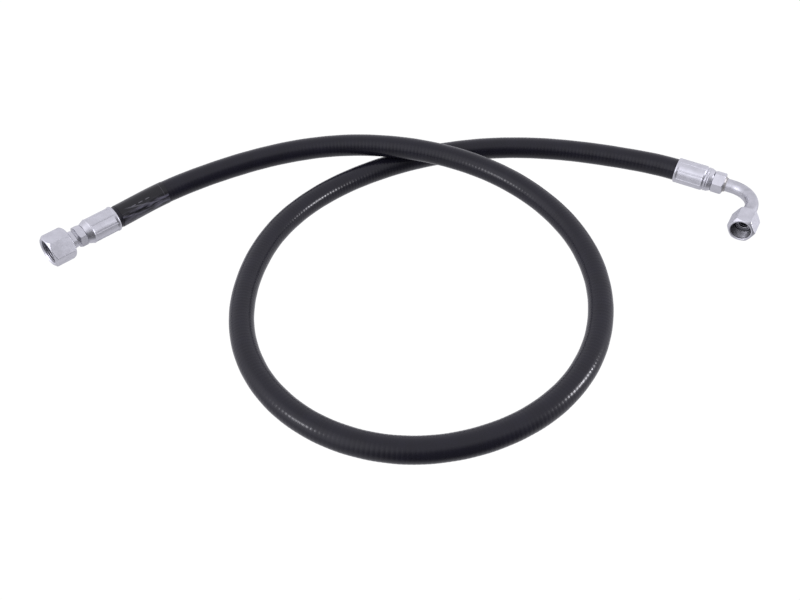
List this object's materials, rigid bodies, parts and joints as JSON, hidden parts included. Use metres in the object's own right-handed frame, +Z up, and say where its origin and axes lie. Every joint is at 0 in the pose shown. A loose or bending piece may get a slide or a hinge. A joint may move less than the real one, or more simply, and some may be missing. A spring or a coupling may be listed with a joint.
{
  "type": "hydraulic hose assembly",
  "caption": "Wire-braided hydraulic hose in an open loop, with a crimped straight swivel fitting on one end and a crimped 90 degree elbow swivel fitting on the other.",
  "frame": {"origin": "on the ground, at the middle of the box that the two fittings fill (the hose and its label are free cord and are left out of that box)", "axes": "+X from the straight fitting's end towards the elbow's end, +Y away from the loop, +Z up from the ground that the assembly lies on"},
  "size_m": [0.7023, 0.4214, 0.0452],
  "materials": {
    "cover_rubber": "dark grey synthetic rubber with a fine cross-wrapped texture and a soft sheen",
    "separator_rubber": "matt black rubber layer between the two wire braids",
    "tube_rubber": "smooth black oil-resistant nitrile rubber",
    "braid_wire": "brass-coated high-tensile steel wire braid",
    "zinc_plate": "carbon steel, bright silver zinc plating with a satin sheen",
    "braze": "plated-over brazing metal, slightly rough",
    "label_film": "thin clear glossy self-adhesive film over the dark hose"
  },
  "bodies": {
    "hose_and_fittings": {"hose_cover": "cover_rubber", "hose_outer_braid": "braid_wire", "hose_braid_separator": "separator_rubber", "hose_inner_braid": "braid_wire", "hose_inner_tube": "tube_rubber", "label_film": "label_film", "straight_ferrule": "zinc_plate", "straight_stem": "zinc_plate", "elbow_ferrule": "zinc_plate", "elbow_stem": "zinc_plate", "elbow_stem_braze": "braze", "elbow_tube": "zinc_plate", "elbow_head": "zinc_plate", "elbow_head_braze": "braze"},
    "straight_nut": {"straight_swivel_nut": "zinc_plate"},
    "elbow_nut": {"elbow_swivel_nut": "zinc_plate"}
  },
  "joints": [
    {"name": "straight_nut_spin", "type": "hinge", "parent": "hose_and_fittings", "child": "straight_nut", "pos_m": [-0.34086, -0.06114, 0.0143], "axis": [-0.7242, -0.6896, 0], "continuous": true},
    {"name": "elbow_nut_spin", "type": "hinge", "parent": "hose_and_fittings", "child": "elbow_nut", "pos_m": [0.32111, -0.0372, 0.0119], "axis": [-0.4955, -0.8686, 0], "continuous": true}
  ]
}
